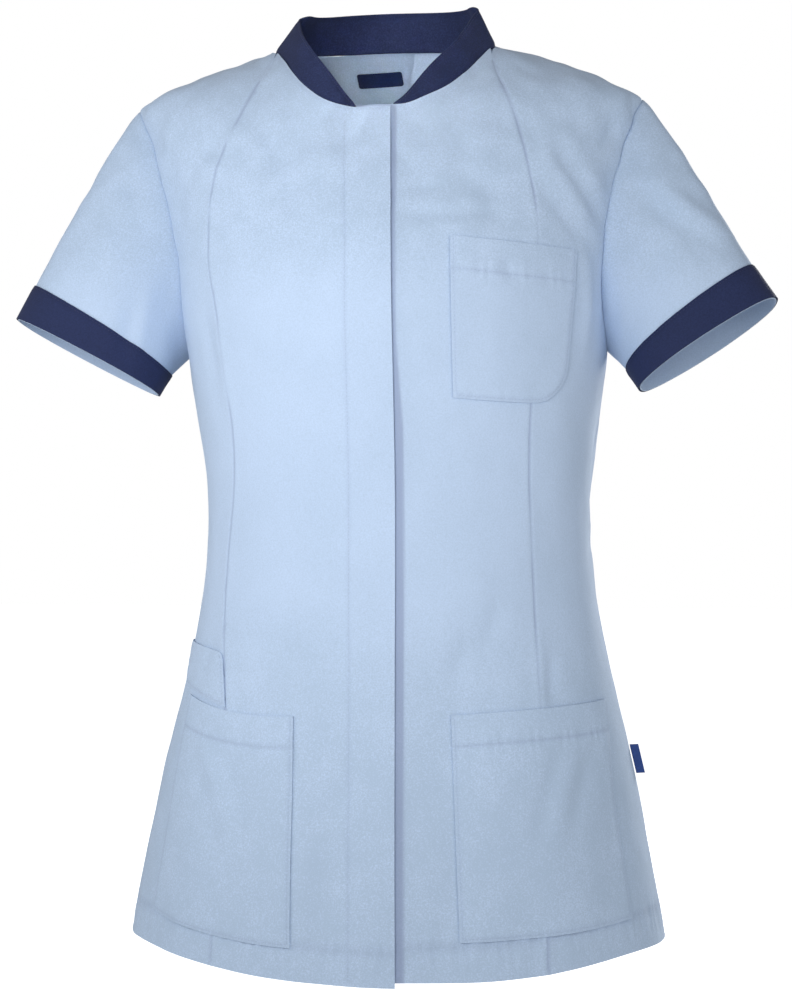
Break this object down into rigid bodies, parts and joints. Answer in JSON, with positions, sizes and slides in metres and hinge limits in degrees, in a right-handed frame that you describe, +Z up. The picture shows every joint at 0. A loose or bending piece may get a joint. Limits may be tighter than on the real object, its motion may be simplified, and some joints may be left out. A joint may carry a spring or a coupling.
{
  "type": "work jacket",
  "caption": "Fitted short-sleeved work jacket with a stand collar, concealed front closing, panel seams and patch pockets.",
  "frame": {"origin": "the point midway between the shoulders at the height of the neck, where a neck, stand or hook holds the garment", "axes": "+Z up towards the collar, -Y out of the front, +X towards the wearer's left"},
  "size_m": [0.5869, 0.2916, 0.7361],
  "materials": {
    "pale_cloth": "matt plain-woven work cloth, pale sky blue",
    "navy_cloth": "matt plain-woven work cloth, navy",
    "label_cloth": "bare woven label tape, deep blue"
  },
  "bodies": {
    "root": {"back": "pale_cloth", "front_right": "pale_cloth", "front_left": "pale_cloth", "side_front_right": "pale_cloth", "side_front_left": "pale_cloth", "sleeve_right": "pale_cloth", "sleeve_left": "pale_cloth", "cuff_right": "navy_cloth", "cuff_left": "navy_cloth", "collar": "navy_cloth", "pocket_chest": "pale_cloth", "pocket_hip_left": "pale_cloth", "pocket_hip_right": "pale_cloth", "pocket_ticket": "pale_cloth", "label_neck": "label_cloth", "label_side": "label_cloth"}
  },
  "joints": []
}
